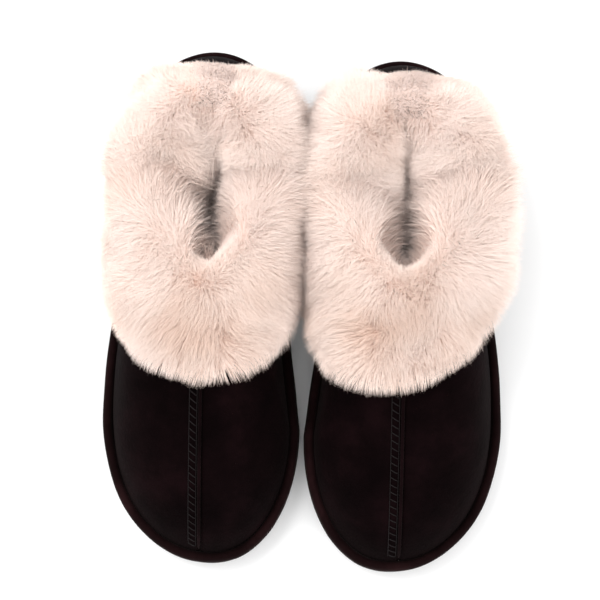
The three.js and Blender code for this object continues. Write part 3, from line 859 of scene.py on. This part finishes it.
class Collar:
    """One piece of the collar as a grid of places, with the directions that its pile starts from."""

    def __init__(self, start, end, front, corner=0.0, inner=0.0):
        self.front = front
        edge = 0.0001
        self.t = np.linspace(start + edge, end - edge, max(20, int(PLACES_ROUND * (end - start))))
        if front:
            thick = np.full(len(self.t), CUFF_THICK)
            reach = CUFF_REACH - FRINGE - corner * (1 - smoothstep(self.t, 0.2, 0.57))
            reach = reach + inner * smoothstep(self.t, 0.5, 0.66)
        else:
            thick = lerp(ROLL_THICK, HEEL_ROLL_THICK, heel_share(self.t))
            reach = lerp(ROLL_REACH, HEEL_ROLL_REACH, heel_share(self.t))
            ragged = 1 + 0.14 * Waves(23, 9)(surface_at(self.t, 1.0))
            reach = reach - HEEL_BARE * ragged * (1 - smoothstep(share_at(self.t), 0.03, 0.13))
        self.base, self.out = wrap_at(self.t, reach, COLLAR_TUCK, PLACES_OUTSIDE, PLACES_OVER)
        outer, turned = 4 / 9, 8 / 9  # where w reaches the topline, and where it has turned over it
        self.w = np.concatenate([
            np.linspace(0, outer, PLACES_OUTSIDE + 1)[:-1], np.linspace(outer, turned, PLACES_OVER + 1),
            [(turned + 1) / 2, 1]])
        swell = np.maximum(np.sin(np.pi * self.w ** 0.8), 0) ** 0.6
        full = TIP_THICK + (thick[:, None] - TIP_THICK) * swell[None, :]
        heel = (1 - smoothstep(share_at(self.t), 0.02, 0.16))[:, None]
        outside = 1 - smoothstep(self.w, 0.45, 0.62)[None, :]
        front_end = front_share(self.t)[:, None]
        backing = lerp(SKIN_SHARE * lerp(2.2, 0.9, front_end), SKIN_SHARE, outside)
        backing = backing * lerp(1.0, 0.42, heel * outside)
        self.skin = np.maximum(full * backing, 1.0)
        self.surface = self.base + self.out * (COLLAR_CLEAR + self.skin)[..., None]
        self.along = unit(np.gradient(self.surface, axis=1))
        self.round = unit(np.gradient(self.surface, axis=0))
        shifts = np.linspace(-0.06, 0.06, 7)  # smooths the pile's directions where the topline bends
        self.up = unit(sum(
            wrap_at(self.t + shift, reach, COLLAR_TUCK, PLACES_OUTSIDE, PLACES_OVER)[1] for shift in shifts))

    def solid(self):
        inner = self.base + self.out * COLLAR_CLEAR
        return loft(np.concatenate([self.surface, inner[:, ::-1]], 1))

    def areas(self):
        p = self.surface
        a, b = p[1:, :-1] - p[:-1, :-1], p[:-1, 1:] - p[:-1, :-1]
        return np.linalg.norm(np.cross(a, b), axis=-1)

    def sample(self, count, rng):
        """Random places, evenly spread, as (points, normals, along, round, t, w)."""
        crest = 1 + 0.9 * bump(self.w[None, :-1], CREST_AT, 0.14)
        weight = (self.areas() * crest).ravel()
        cell = rng.choice(len(weight), count, p=weight / weight.sum())
        i, j = np.divmod(cell, len(self.w) - 1)
        u, v = rng.random(count)[:, None], rng.random(count)[:, None]

        def blend(grid):
            low = lerp(grid[i, j], grid[i + 1, j], u)
            return lerp(low, lerp(grid[i, j + 1], grid[i + 1, j + 1], u), v)

        t = lerp(self.t[i], self.t[i + 1], u[:, 0])
        w = lerp(self.w[j], self.w[j + 1], v[:, 0])
        ways = [unit(blend(grid)) for grid in (self.up, self.along, self.round)]
        return (blend(self.surface), *ways, t, w)


def strands(root, joints, width):
    """Tapered three-sided fibres from their roots through their joints, the last of which is the tip."""
    count, rings = len(root), len(joints)
    spine = np.stack([root] + joints, 1)
    along = unit(spine[:, 1] - spine[:, 0])
    ref = np.where(np.abs(along[:, 2:3]) < 0.8, [[0, 0, 1.0]], [[1.0, 0, 0]])
    a = unit(np.cross(along, ref))
    b = np.cross(along, a)
    taper = (1 - (np.arange(rings) / rings) ** 1.6)
    corners = []
    for k in range(3):
        turn = 2 * np.pi * k / 3
        offset = a * math.cos(turn) + b * math.sin(turn)
        corners.append(spine[:, :rings] + offset[:, None] * (width[:, None] / 2 * taper[None, :])[..., None])
    body = np.stack(corners, 2).reshape(count, rings * 3, 3)
    points = np.concatenate([body, spine[:, -1:]], 1)
    one = []
    for r in range(rings - 1):
        for k in range(3):
            p, q = r * 3 + k, r * 3 + (k + 1) % 3
            one += [(p, q, q + 3), (p, q + 3, p + 3)]
    top, tip = (rings - 1) * 3, rings * 3
    one += [(top + k, top + (k + 1) % 3, tip) for k in range(3)] + [(0, 2, 1)]
    faces = np.array(one)[None] + (np.arange(count) * (tip + 1))[:, None, None]
    heights = np.append(np.repeat(np.arange(rings), 3), rings) / rings
    return points.reshape(-1, 3), faces.reshape(-1, 3), np.tile(heights, count)


def add_fibre_map(piece, height, tint, per_fibre):
    """The map across which each fibre's tint runs, and up which its root and tip lie."""
    layer = piece.data.uv_layers.new(name="OFBake")
    loops = np.zeros(len(piece.data.loops), np.int32)
    piece.data.loops.foreach_get("vertex_index", loops)
    corner = np.array([-0.008, 0.0, 0.008] * 8)[:per_fibre]
    u = np.clip(np.repeat(tint, per_fibre) + np.tile(corner, len(tint)), 0.005, 0.995)
    v = np.clip(height, 0.005, 0.995)
    layer.data.foreach_set("uv", np.stack([u[loops], v[loops]], -1).ravel().astype(np.float32))


def soften(piece, facing, per_fibre, side):
    """Shades each fibre partly as the soft mass that it lies in, and partly as itself."""
    own = np.empty(len(piece.data.vertices) * 3, np.float32)
    piece.data.vertices.foreach_get("normal", own)
    mass = np.repeat(facing * [side, 1, 1], per_fibre, axis=0)
    piece.data.normals_split_custom_set_from_vertices(unit(lerp(own.reshape(-1, 3), mass, MASS_SHARE)))


PILE_TOP = 98.0  # fibres that stand higher than this are laid over
HEEL_GAP = 8.0  # half the width of the strip at the heel where the rolls part and the lining shows
PILE_PER_PIECE = 19000  # fibres
FIBRES_PER_LOCK = 26
MASS_SHARE = 0.72  # of each fibre's shading that it takes from the mass that it lies in
OUTER_PILE, INNER_PILE, HEEL_PILE = 0.84, 1.12, 0.22  # shares of the pile's full length
MOUTH_PILE_LEAST, MOUTH_PILE_MOST = 4.0, 30.0  # lengths before each fibre's own variation


class Roots:
    """The places that one collar piece's fibres grow from, and which parts of the collar they lie in."""

    def __init__(self, collar, count, rng, plush):
        self.at, self.up, self.along, self.around, self.t, self.w = collar.sample(count, rng)
        self.count, self.plush, self.front = count, plush, collar.front
        self.share = share_at(self.t)
        self.outside = 1 - smoothstep(self.w, 0.5, 0.68)
        self.off_edge = smoothstep(self.w, 0.0, 0.2)
        self.crown = bump(self.w, CREST_AT, 0.16)
        lap = 1 - smoothstep(self.w, 0.62, 0.74)
        self.over = lap * bump(self.t, plush.lap_at + 0.014, 0.016)
        self.under = lap * bump(self.t, plush.lap_at - 0.014, 0.013)
        # the strip at the heel where the rolls part
        self.strip = bump(self.at[:, 0], plush.slit.middle, HEEL_GAP) * smoothstep(self.at[:, 1], 86, 98)
        self.strip *= smoothstep(self.w, 0.24, 0.36)

    def comb(self):
        """Which way the pile is brushed, apart from its growing straight out."""
        up, w, seed = self.up, self.w, self.plush.seed
        down = up * up[:, 2:3] - [[0, 0, 1.0]]
        swirl = 0.2 * wave_vector(seed, 34, self.at) + 0.1 * wave_vector(seed + 5, 12, self.at)
        swirl -= up * (swirl * up).sum(-1, keepdims=True)
        swirl *= lerp(0.45, 1.0, self.outside)[:, None]
        comb = down * (lerp(0.3, 0.8, self.outside) * lerp(0.45, 1.0, self.off_edge))[:, None] + swirl
        comb += [0, -0.12, 0] - 0.12 * self.crown[:, None] * self.along
        if self.front:
            comb -= 0.3 * self.along * self.outside[:, None]
        comb -= 0.9 * self.around * self.over[:, None]
        over_edge = (1 - smoothstep(w, 0.0, 0.09)) * (self.share > 0.25)
        return comb - 1.3 * self.along * over_edge[:, None]

    def lengths(self, length, rng):
        """How long each fibre is: much shorter at the heel, and reaching to the slit in the mouth."""
        x, y, w, plush, slit = self.at[:, 0], self.at[:, 1], self.w, self.plush, self.plush.slit
        long = length * rng.uniform(0.86, 1.08, self.count) * (1 + 0.06 * Waves(plush.seed + 41, 19)(self.at))
        long *= lerp(INNER_PILE, OUTER_PILE, self.outside) * lerp(0.8, 1.0, self.off_edge)
        long *= 1 - 0.4 * front_share(self.t) * smoothstep(w, 0.46, 0.62)
        long *= 1 + 0.28 * self.over - 0.2 * self.under
        heel = 1 - smoothstep(self.share, 0.03, 0.12)
        long *= lerp(1.0, HEEL_PILE, heel * (1 - smoothstep(w, 0.66, 0.8)))
        long *= lerp(1.0, lerp(0.85, 1.0, smoothstep(self.share, 0.06, 0.25)), self.outside)
        outer_side = self.outside * smoothstep(x, 0, 30)
        inner_side = self.outside * smoothstep(-x, 0, 25)
        for middle, spread, more in plush.brushed:
            long *= 1 + more * outer_side * bump(y, middle, spread)
        long *= 1 + inner_side * (0.2 + 0.4 * bump(y, *plush.bulge))
        open_share = 1 - 1.25 * smoothstep(w, 0.67, 0.77)
        to_slit = slit.distance(self.at, self.up, open_share)
        to_slit = np.clip(to_slit, MOUTH_PILE_LEAST, MOUTH_PILE_MOST) * rng.uniform(0.9, 1.06, self.count)
        to_slit *= 1 + 0.12 * smoothstep(y, slit.back - 24, slit.back)
        level = np.linalg.norm(self.up[:, :2], axis=-1)
        long = lerp(long, to_slit, smoothstep(level, 0.5, 0.9) * (w > 0.55))
        return long * lerp(1.0, 0.1, self.strip)

    def tints(self, rng):
        """How light each fibre is: it varies at random, and the fibres on the middle of the instep are
        painted darkest, as painted shade among the clumps there.
        """
        # Painted shade: the fibres on the middle of the instep are made darker.
        painted_instep_shade = self.outside * bump(self.at[:, 0], 2, 30) * bump(self.at[:, 1], -12, 24)
        uneven = 0.13 * Waves(self.plush.seed + 53, 34)(self.at) + rng.normal(0, 0.08, self.count)
        return np.clip(0.8 + uneven - 0.65 * painted_instep_shade, 0.02, 0.98)


def gather(root, joints, rng):
    """Draws each fibre a little towards the leading fibre of its lock, more so nearer to its tip."""
    leaders = rng.choice(len(root), max(1, len(root) // FIBRES_PER_LOCK), replace=False)
    tree = KDTree(len(leaders))
    for index, strand in enumerate(leaders):
        tree.insert(root[strand], index)
    tree.balance()
    leader = leaders[np.array([tree.find(p)[1] for p in root])]
    spread = (root - root[leader]) * 0.5
    return [lerp(joint, joint[leader] + spread, pull) for joint, pull in zip(joints, (0.07, 0.26))]


def pile(collar, count, sizes, seed, plush):
    """The long fibres of one collar piece: root, joints, width, tint and shading direction of each."""
    rng = np.random.default_rng(seed)
    roots = Roots(collar, count, rng, plush)
    comb, long = roots.comb(), roots.lengths(sizes.pile_length / MM, rng)[:, None] / 3
    stray = rng.normal(size=(count, 3)) * (0.11 + 0.09 * roots.crown[:, None])
    first = unit(roots.up * 1.0 + comb * 0.45 + stray)
    second = unit(roots.up * 0.62 + comb * 0.95 + stray * 1.3 + [0, 0, -0.05])
    third = unit(roots.up * 0.36 + comb * 1.15 + stray * 1.7 + [0, 0, -0.18])
    joints = [roots.at + (first * 1.15 + second * 0.35) * long]
    joints.append(joints[0] + (second * 0.65 + third * 0.85) * long)
    for joint in joints:
        joint[:, 2] -= 0.6 * np.maximum(joint[:, 2] - PILE_TOP, 0)
    joints = gather(roots.at, joints, rng)
    tint = roots.tints(rng)
    facing = unit(roots.up + comb * 0.25 + stray * 0.7 + [0, 0, 0.55])
    width = sizes.fibre_width / MM * rng.uniform(0.8, 1.2, count)
    return roots.at, joints, width, tint, facing


def collar_pieces(prefix, side, skin, fur, sizes, plush):
    """The front cuff and the two rolls, each a padded backing with its pile in tufts."""
    front = Collar(CUFF_SEAM, 1 - CUFF_SEAM, front=True, corner=plush.corner, inner=plush.inner)
    parts = {
        "front": (front, "collar_front"),
        "outer": (Collar(0, CUFF_SEAM, front=False), "collar_lateral"),
        "inner": (Collar(-CUFF_SEAM, 0, front=False), "collar_medial"),
    }
    whole = sum(collar.areas().sum() for collar, _ in parts.values())
    for order, (name, (collar, node)) in enumerate(parts.items()):
        backing = mesh_from(f"{prefix}_{name}_underfur", *collar.solid(), side)
        register_piece(backing, prefix, skin, [node])
        count = int(sizes.fibre_count * collar.areas().sum() / whole)
        root, joints, width, tint, facing = pile(collar, count, sizes, plush.seed + order * 70, plush)
        tufts = math.ceil(count / PILE_PER_PIECE)
        for tuft in range(tufts):
            pick = slice(tuft, None, tufts)
            points, faces, height = strands(root[pick], [j[pick] for j in joints], width[pick])
            piece = mesh_from(f"{prefix}_{name}_pile_{tuft + 1}", points, faces, side)
            per_fibre = len(points) // len(tint[pick])
            add_fibre_map(piece, height, tint[pick], per_fibre)
            soften(piece, facing[pick], per_fibre, side)
            register_piece(piece, prefix, fur)


def curls(rng, root, up, size):
    """Short fibres that curl over, one from each root."""
    curl = rng.normal(size=root.shape)
    joints = [root + (up * 1.2 + curl * 0.6) * size]
    joints.append(joints[0] + (up * 0.5 + np.roll(curl, 1, 1)) * size)
    return joints


WALL_CURLS, FOOTBED_CURLS, HEEL_CURLS_TRIED = 6000, 7000, 80000


def lining_pile(prefix, side, fur, slit):
    """Short curly fibres where the lining shows: inside the mouth, on the footbed and over the heel."""
    rng = np.random.default_rng(900 + side)
    t = rng.uniform(-0.15, 0.15, WALL_CURLS)
    s = 1 - rng.random(WALL_CURLS) ** 0.8 * 0.72
    walls = layer_at(t, s, shell_depth(t)), -normal_at(t, s)
    root, up, _, _, _, w = Collar(-0.1, 0.1, front=False).sample(HEEL_CURLS_TRIED, rng)
    half = HEEL_GAP * rng.uniform(0.3, 1.4, len(root)) * lerp(1.5, 1.0, smoothstep(w, 0.2, 0.5))
    kept = (np.abs(root[:, 0] - slit.middle) < half) & (w > 0.05)
    heel = root[kept], up[kept]
    across, back = rng.uniform(-26, 24, FOOTBED_CURLS), rng.uniform(-10, 100, FOOTBED_CURLS)
    bed_root = np.stack([across, back, np.full(FOOTBED_CURLS, COVER_BOX[1][2] - 0.2)], -1)
    bed = bed_root, np.tile([0, 0, 1.0], (FOOTBED_CURLS, 1))
    for name, (root, up), size, slot in (
            ("lining_curls", walls, 1.0, "lining_fleece"), ("heel_curls", heel, 0.8, "lining_fleece"),
            ("footbed_curls", bed, 0.9, "footbed_fleece")):
        count = len(root)
        points, faces, height = strands(root, curls(rng, root, up, size), np.full(count, 0.42 * size))
        piece = mesh_from(f"{prefix}_{name}", points, faces, side)
        per_fibre = len(points) // count
        add_fibre_map(piece, height, rng.uniform(0.1, 0.9, count), per_fibre)
        soften(piece, up, per_fibre, side)
        register_piece(piece, prefix, fur)


# ---- operators ----

# Layers hidden in the sole and heel: name, colour, grains per metre, contrast, depth in mm, roughness.
INNER_LAYERS = {
    "midsole": ("Cell foam", (0.68, 0.64, 0.58), 1400, 0.12, 0.25, 0.85),
    "insole_board": ("Fibre board", (0.45, 0.32, 0.2), 520, 0.25, 0.1, 0.85),
    "footbed_foam": ("Open foam", (0.8, 0.77, 0.7), 1900, 0.15, 0.35, 0.9),
    "heel_counter": ("Stiffener board", (0.35, 0.32, 0.28), 700, 0.2, 0.1, 0.8),
}


class SLIPPER_OT_sole(bpy.types.Operator):
    """Makes the treaded outsoles and finishes the layers inside the soles"""
    bl_idname = "slipper.sole"
    bl_label = "Soles"

    def execute(self, context):
        colours = context.scene.slipper_colours
        rubber = plain_finish(
            "Moulded rubber", colours.rubber[:], per_metre=900, contrast=0.3, depth=0.12, roughness=0.62)
        inside = {node: plain_finish(*look) for node, look in INNER_LAYERS.items()}
        for prefix, side in SIDES.items():
            outsole_piece(prefix, side, rubber.material)
            for node, finish in inside.items():
                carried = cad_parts[f"{prefix}_{node}"]
                carried.data.materials.clear()
                carried.data.materials.append(finish.material)
        return {"FINISHED"}


class SLIPPER_OT_band(bpy.types.Operator):
    """Makes the padded rims round the soles"""
    bl_idname = "slipper.band"
    bl_label = "Rims"

    def execute(self, context):
        material = suede_finish("Rim wrap", context.scene.slipper_colours.band[:], sheen=0.03).material
        for prefix, side in SIDES.items():
            band_piece(prefix, side, material)
        return {"FINISHED"}


class SLIPPER_OT_footbed(bpy.types.Operator):
    """Makes the fleece covers of the footbeds"""
    bl_idname = "slipper.footbed"
    bl_label = "Footbeds"

    def execute(self, context):
        material = fleece_finish("Footbed fleece", context.scene.slipper_colours.lining[:]).material
        for prefix, side in SIDES.items():
            cover_piece(prefix, side, material)
        return {"FINISHED"}


class SLIPPER_OT_upper(bpy.types.Operator):
    """Makes the suede panels, their linings and the topline tapes"""
    bl_idname = "slipper.upper"
    bl_label = "Uppers"

    def execute(self, context):
        colours = context.scene.slipper_colours
        suede = suede_finish("Brushed suede", colours.suede[:], sheen=0.012).material
        lining = fleece_finish("Curly fleece", colours.lining[:]).material
        tape = plain_finish(
            "Woven tape", (0.62, 0.5, 0.44), per_metre=1600, contrast=0.18, depth=0.2, roughness=0.85)
        for prefix, side in SIDES.items():
            upper_pieces(prefix, side, suede, lining)
            binding_piece(prefix, side, tape.material)
        return {"FINISHED"}


class SLIPPER_OT_seam(bpy.types.Operator):
    """Makes the raised centre seams and their thread"""
    bl_idname = "slipper.seam"
    bl_label = "Centre seams"

    def execute(self, context):
        colours = context.scene.slipper_colours
        # The ridge's suede is painted 1.5 times lighter than the panels' suede: a painted highlight along the
        # raised ridge.
        suede = suede_finish("Seam suede, painted highlight", shade(colours.suede[:], 1.5), sheen=0.03).material
        thread = plain_finish(
            "Spun thread", colours.thread[:], per_metre=2600, contrast=0.35, depth=0.08, roughness=0.6)
        for prefix, side in SIDES.items():
            pitch = context.scene.slipper_sizes.stitch_pitch / MM
            seam_pieces(prefix, side, suede, thread.material, pitch)
        return {"FINISHED"}


class SLIPPER_OT_collar(bpy.types.Operator):
    """Makes the plush collars: a padded backing and its long pile"""
    bl_idname = "slipper.collar"
    bl_label = "Plush collars"

    def execute(self, context):
        colours, sizes = context.scene.slipper_colours, context.scene.slipper_sizes
        # The pile's root colour is painted shade deep in the pile, and the underfur takes part of its colour
        # from it.
        root, tip, curl = colours.pile_root_shade[:], colours.pile_tip[:], colours.lining[:]
        skin = fleece_finish("Underfur", lerp_colour(root, tip, 0.35)).material
        fur = pile_finish("Long pile", root, tip).material
        # The lining curls' roots are painted a little darker than their tips, as painted shade.
        curly = pile_finish("Lining curls", shade(curl, 0.93), shade(curl, 1.04)).material
        for prefix, side in SIDES.items():
            collar_pieces(prefix, side, skin, fur, sizes, PLUSHES[prefix])
            lining_pile(prefix, side, curly, PLUSHES[prefix].slit)
        return {"FINISHED"}


# Metres and degrees.
SKY_STRENGTH = 1.31
CAMERA_TARGET, CAMERA_REACH = Vector((-0.0021, 0.0066, 0.0)), 1.5
CAMERA_ELEVATION, CAMERA_ROLL, CAMERA_VIEW_ANGLE = 85.0, 1.1, 11.7
SENSOR_WIDTH = 36.0  # millimetres


def aimed(thing, at):
    thing.rotation_euler = (Vector(at) - thing.location).to_track_quat("-Z", "Y").to_euler()


def soft_box(name, at, look_at, size, watts):
    light = bpy.data.lights.new(name, "AREA")
    light.shape, light.size, light.energy = "SQUARE", size, watts
    lamp = bpy.data.objects.new(name, light)
    lamp.location = at
    bpy.context.scene.collection.objects.link(lamp)
    aimed(lamp, look_at)
    return lamp


class SLIPPER_OT_stage(bpy.types.Operator):
    """Sets the floor, the soft lights and the camera"""
    bl_idname = "slipper.stage"
    bl_label = "Stage"

    def execute(self, context):
        scene = context.scene
        bpy.ops.mesh.primitive_plane_add(size=12, location=(0, 0, 0))
        floor = context.active_object
        floor.name = "floor"
        colour = scene.slipper_colours.floor[:]
        paper = plain_finish(
            "Paper floor", colour, per_metre=12, contrast=0.01, depth=0.02, roughness=0.9)
        floor.data.materials.append(paper.material)
        world = bpy.data.worlds.new("Studio")
        scene.world = world
        world.use_nodes = True
        sky = world.node_tree.nodes["Background"]
        sky.inputs["Color"].default_value = (1, 1, 1, 1)
        sky.inputs["Strength"].default_value = SKY_STRENGTH
        soft_box("Key", (-0.9, 0.7, 1.9), (0, 0, 0.03), size=1.2, watts=27)
        soft_box("Fill", (1.3, -0.9, 1.6), (0, 0, 0.03), size=1.8, watts=12)
        scene.view_settings.view_transform = "Standard"
        camera = bpy.data.objects.new("Camera", bpy.data.cameras.new("Camera"))
        scene.collection.objects.link(camera)
        elevation = math.radians(CAMERA_ELEVATION)
        away = Vector((0, -math.cos(elevation), math.sin(elevation)))
        camera.location = CAMERA_TARGET + away * CAMERA_REACH
        aimed(camera, CAMERA_TARGET)
        camera.rotation_euler.rotate_axis("Z", math.radians(CAMERA_ROLL))
        camera.data.sensor_width = SENSOR_WIDTH
        camera.data.lens = SENSOR_WIDTH / (2 * math.tan(math.radians(CAMERA_VIEW_ANGLE) / 2))
        scene.camera = camera
        return {"FINISHED"}


class SLIPPER_PT_panel(bpy.types.Panel):
    """Lists the steps that build the pair"""
    bl_idname = "SLIPPER_PT_panel"
    bl_label = "Plush House Slippers"
    bl_space_type = "VIEW_3D"
    bl_region_type = "UI"
    bl_category = "Slippers"

    def draw(self, context):
        for group in (context.scene.slipper_sizes, context.scene.slipper_colours):
            for name in type(group).__annotations__:
                self.layout.prop(group, name)
        for step in STEPS:
            self.layout.operator(step.bl_idname)


STEPS = (SLIPPER_OT_stage, SLIPPER_OT_sole, SLIPPER_OT_band, SLIPPER_OT_footbed, SLIPPER_OT_upper,
         SLIPPER_OT_seam, SLIPPER_OT_collar)
CLASSES = (SlipperSizes, SlipperColours, *STEPS, SLIPPER_PT_panel)


def register():
    for cls in CLASSES:
        bpy.utils.register_class(cls)
    bpy.types.Scene.slipper_sizes = PointerProperty(type=SlipperSizes)
    bpy.types.Scene.slipper_colours = PointerProperty(type=SlipperColours)


def unregister():
    del bpy.types.Scene.slipper_sizes
    del bpy.types.Scene.slipper_colours
    for cls in reversed(CLASSES):
        bpy.utils.unregister_class(cls)


def main():
    register()
    bpy.ops.slipper.stage()
    bpy.ops.slipper.sole()
    bpy.ops.slipper.band()
    bpy.ops.slipper.footbed()
    bpy.ops.slipper.upper()
    bpy.ops.slipper.seam()
    bpy.ops.slipper.collar()


if __name__ == "__main__":
    main()
